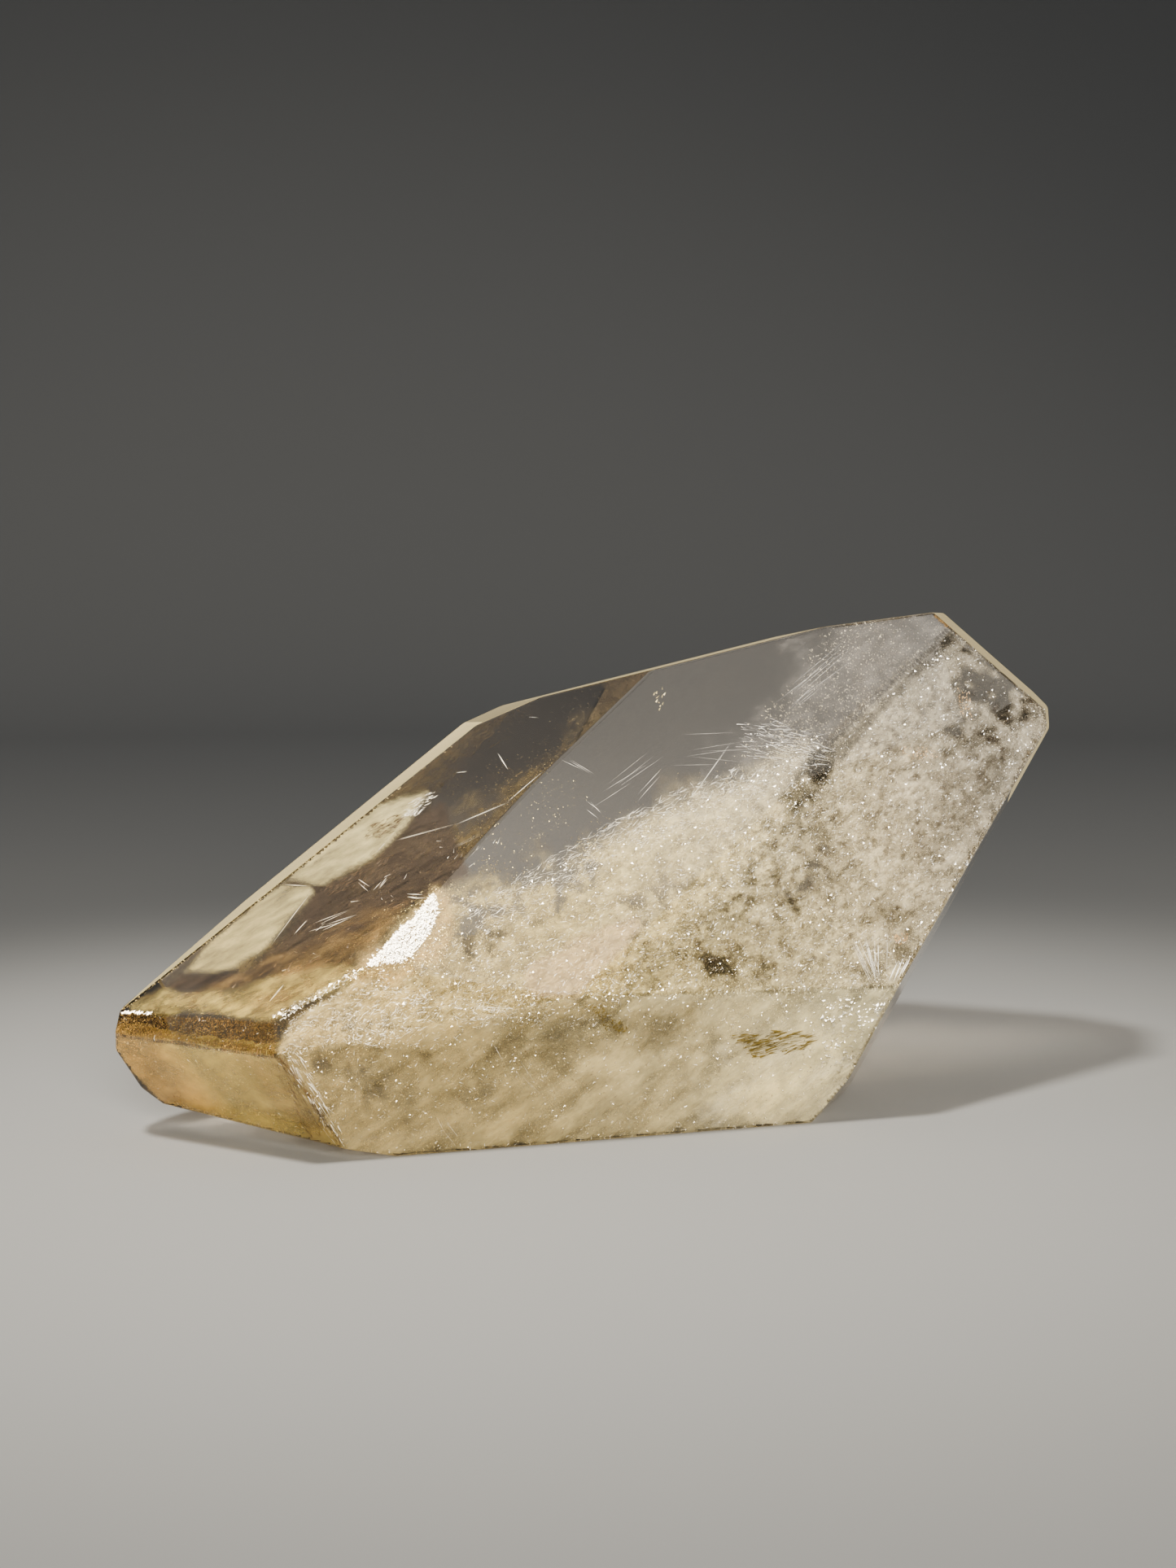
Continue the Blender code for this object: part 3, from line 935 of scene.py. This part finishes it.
# The smallest sparkle against its size and against the largest
SMALLEST_SPARKLE = 0.45
SMALLEST_TO_LARGEST = 0.22


def sparkles(name, outline, count, depth, size, spread, material, seed, feather):
    """Flakes turned so that they throw the key lamp's light to the front, give or take a spread."""
    rng = np.random.default_rng(seed)
    pixels, depths, places = scatter(
        outline, count, depth, feather, seed, rng, SPARKLE_SKIN, gaps=False)
    inward = follow(pixels)[2]
    to_key = unit(np.array(KEY_PLACE) / MM - places)
    normals = unit(unit(to_key - inward) + rng.normal(scale=spread, size=places.shape))
    ways = any_side(normals, rng)
    widths = size * SMALLEST_SPARKLE / rng.uniform(SMALLEST_TO_LARGEST, 1, count)
    sides = np.cross(normals, ways)
    new_piece(name, flakes(places, ways, sides, widths * SPARKLE_LENGTH, widths, rng), material)


for row in SPARKLES:
    sparkles(*row)


# Long needles: start and end in the picture, start and end depth, width, number and spread
NEEDLES = (
    # The fissure up the dark slope
    ((473, 1037), (560, 1013), 1, 1.2, 0.1, 2, 1),
    ((558, 1014), (625, 985), 1.2, 1.4, 0.1, 2, 1),
    ((622, 987), (668, 948), 1.4, 1.6, 0.09, 2, 1),
    ((520, 1060), (600, 1030), 2, 2.4, 0.06, 2, 6),
    # Short marks on the upper slope
    ((612, 926), (624, 946), 0.8, 0.9, 0.12, 3, 2),
    ((650, 881), (662, 882), 0.8, 0.8, 0.1, 1, 0),
    ((560, 950), (574, 948), 0.8, 0.8, 0.14, 2, 2),
    ((700, 935), (730, 948), 0.8, 1.2, 0.08, 3, 8),
    ((725, 985), (742, 998), 0.8, 1, 0.12, 3, 5),
    # Straight lines in the clear upper face
    ((965, 858), (1037, 796), 1.2, 2, 0.07, 6, 9),
    ((975, 870), (1010, 838), 1, 1.8, 0.06, 4, 8),
    ((850, 980), (898, 912), 1, 2, 0.08, 2, 4),
    ((783, 977), (812, 944), 1, 1.4, 0.08, 2, 5),
    ((745, 965), (800, 930), 1.5, 2.2, 0.05, 5, 14),
    ((840, 930), (910, 925), 1.5, 2.2, 0.05, 6, 16),
    # Hatching at the right end
    ((1092, 1206), (1104, 1180), 0.2, 0.2, 0.3, 1, 0),
    ((1098, 1206), (1110, 1177), 0.2, 0.2, 0.3, 1, 0),
    ((1103, 1203), (1116, 1178), 0.2, 0.2, 0.3, 1, 0),
    ((1108, 1198), (1119, 1176), 0.2, 0.2, 0.3, 1, 0),
    # The fan beside it
    ((1074, 1206), (1048, 1150), 0.15, 0.5, 0.1, 5, 6),
    ((1076, 1206), (1062, 1143), 0.15, 0.5, 0.1, 6, 6),
    ((1079, 1206), (1078, 1140), 0.15, 0.5, 0.1, 5, 6),
    # Painted light lines along the painted windows' edges
    ((348, 1087), (380, 1089), 0.8, 0.8, 0.25, 1, 0),
    ((383, 1095), (332, 1163), 0.8, 0.8, 0.2, 1, 0),
    ((496, 1010), (462, 1048), 0.8, 0.8, 0.2, 1, 0),
    # Marks on the lower slope
    ((362, 1147), (378, 1130), 0.5, 0.6, 0.2, 2, 2),
    ((392, 1136), (432, 1120), 0.5, 0.6, 0.16, 5, 10),
    ((466, 1090), (478, 1078), 0.5, 0.6, 0.24, 3, 5),
    ((440, 1080), (455, 1090), 0.5, 0.6, 0.2, 2, 4),
    ((500, 1102), (520, 1104), 0.5, 0.6, 0.35, 3, 3),
    ((332, 1230), (350, 1208), 0.4, 0.5, 0.35, 3, 2),
    # Curved cracks in the lower face
    ((536, 1372), (546, 1392), 0.6, 0.6, 0.16, 1, 0),
    ((546, 1391), (560, 1408), 0.6, 0.6, 0.16, 1, 0),
    ((545, 1372), (562, 1396), 0.6, 0.7, 0.12, 2, 3),
    ((606, 1283), (617, 1302), 0.6, 0.7, 0.16, 1, 0),
    ((574, 1292), (584, 1308), 0.6, 0.7, 0.22, 1, 0),
    ((640, 1320), (660, 1350), 0.8, 1.2, 0.08, 5, 12),
    # Bright lines along the leaf
    ((429, 1217), (514, 1219), 0.5, 0.5, 0.12, 2, 1.5),
    ((560, 1232), (634, 1250), 0.5, 0.6, 0.14, 5, 5),
    ((575, 1240), (640, 1246), 0.5, 0.6, 0.14, 5, 5),
)
NEEDLES_SEED = 121
NEEDLES_BEND = 0.3
NEEDLES_SLIMNESS = 0.5
NEEDLES_SKIN = 0.1


def long_needles():
    """Every long needle in one piece, near copies spread round the first of each kind."""
    rng = np.random.default_rng(NEEDLES_SEED)
    rows = []
    for start, end, start_depth, end_depth, width, count, spread in NEEDLES:
        for copy in range(count):
            move = rng.normal(scale=spread, size=2) if copy else np.zeros(2)
            bend = rng.normal(scale=spread * NEEDLES_BEND, size=2)
            rows.append([*(start + move), *(end + move + bend), start_depth, end_depth, width])
    table = np.array(rows)
    starts, start_fits = set_in(table[:, 0:2], table[:, 4], NEEDLES_SKIN)
    ends, end_fits = set_in(table[:, 2:4], table[:, 5], NEEDLES_SKIN)
    fits = start_fits & end_fits
    widths = table[fits, 6] * NEEDLES_SLIMNESS
    new_piece("long_needles", needles(starts[fits], ends[fits], widths, rng), white_grains)


long_needles()


# The stage, the lamps and the camera, in metres from here on

PAPER = (0.25, 0.25, 0.246, 1.0)
PAPER_ROUGHNESS = 0.9

# The paper is flat as far as this, then curves up with the same radius and goes on as a wall
FLAT_RADIUS = 0.7
MIDDLE_RADIUS = 0.3
WALL_TOP = 1.3
CURVE_STEPS = 12
TURNS = 96


def stage_bowl():
    """A pale paper sweep: flat under the stone and curving up to a wall all round."""
    profile = [(0, 0), (MIDDLE_RADIUS, 0), (FLAT_RADIUS, 0)]
    for step in range(1, CURVE_STEPS + 1):
        angle = math.radians(90 * step / CURVE_STEPS)
        profile.append((FLAT_RADIUS * (1 + math.sin(angle)), FLAT_RADIUS * (1 - math.cos(angle))))
    profile.append((FLAT_RADIUS * 2, WALL_TOP))
    work = bmesh.new()
    points = [work.verts.new((radius, 0, height)) for radius, height in profile]
    edges = [work.edges.new(pair) for pair in zip(points, points[1:])]
    bmesh.ops.spin(work, geom=points + edges, axis=(0, 0, 1), angle=2 * math.pi, steps=TURNS)
    bmesh.ops.remove_doubles(work, verts=work.verts[:], dist=SAME_POINT)
    bmesh.ops.recalc_face_normals(work, faces=work.faces[:])
    mesh = bpy.data.meshes.new("stage_floor")
    work.to_mesh(mesh)
    work.free()
    mesh.shade_smooth()
    floor = new_object("stage_floor", mesh)
    material, paper = new_material("pale_paper")[:2]
    set_inputs(paper, {"Base Color": PAPER, "Roughness": PAPER_ROUGHNESS, "Specular IOR Level": 0.0})
    mesh.materials.append(material)


def lamp(name, kind, place, aim, power, colour, lights=True, mirrored=True):
    """A lamp that isn't seen itself, but lights the scene, is mirrored by polished faces, or both."""
    light = bpy.data.lights.new(name, kind)
    light.energy = power
    light.color = colour
    holder = new_object(name, light)
    holder.location = Vector(place)
    holder.rotation_euler = (Vector(aim) - Vector(place)).to_track_quat("-Z", "Y").to_euler()
    holder.visible_camera = False
    holder.visible_transmission = False
    holder.visible_diffuse = lights
    holder.visible_glossy = mirrored
    return light


WARM_WHITE = (1.0, 0.95, 0.86)
PALE_GOLD = (1.0, 0.92, 0.80)
GOLD = (1.0, 0.80, 0.40)

# Name, place, aim, power, size, angle, and whether polished faces mirror it
SPOTS = (
    ("key", KEY_PLACE, KEY_AIM, 22.0, 0.035, 27, True),
    ("fill", (0.10, -0.66, 0.21), (0, 0, 0.02), 41.0, 0.15, 60, False),
)

# The cards that polished faces mirror: name, place, aim, power, colour, width and height
CARDS = (
    ("left_rim_card", (-0.12, 0.26, 0.065), (-0.12, 0, 0.065), 0.072, GOLD, 0.16, 0.126),
    ("right_rim_card", (0.07, 0.26, 0.065), (0.07, 0, 0.065), 0.042, GOLD, 0.22, 0.126),
    ("sky_card", (0.42, -0.41, 0.74), (0.02, -0.01, 0.04), 0.72, PALE_GOLD, 0.38, 0.38),
)
SKY_COLOUR = (0.46, 0.465, 0.47, 1.0)
NEAREST_SEEN = 0.005

stage_bowl()
for name, place, aim, power, size, angle, mirrored in SPOTS:
    spot = lamp(name, "SPOT", place, aim, power, WARM_WHITE, mirrored=mirrored)
    spot.shadow_soft_size = size
    spot.spot_size = math.radians(angle)
    spot.spot_blend = 1.0
for name, place, aim, power, colour, width, height in CARDS:
    card = lamp(name, "AREA", place, aim, power, colour, lights=False)
    card.shape = "RECTANGLE"
    card.size = width
    card.size_y = height

world = bpy.data.worlds.new("studio")
bpy.context.scene.world = world
world.use_nodes = True
world.node_tree.nodes["Background"].inputs["Color"].default_value = SKY_COLOUR
bpy.context.scene.view_settings.look = "AgX - Medium High Contrast"

camera_data = bpy.data.cameras.new("camera")
camera_data.lens = LENS
camera_data.sensor_width = SENSOR
camera_data.clip_start = NEAREST_SEEN
camera = new_object("camera", camera_data)
camera.location = Vector(CAMERA_PLACE) * MM
camera.rotation_euler = (math.radians(90 - CAMERA_PITCH), 0, 0)
bpy.context.scene.camera = camera
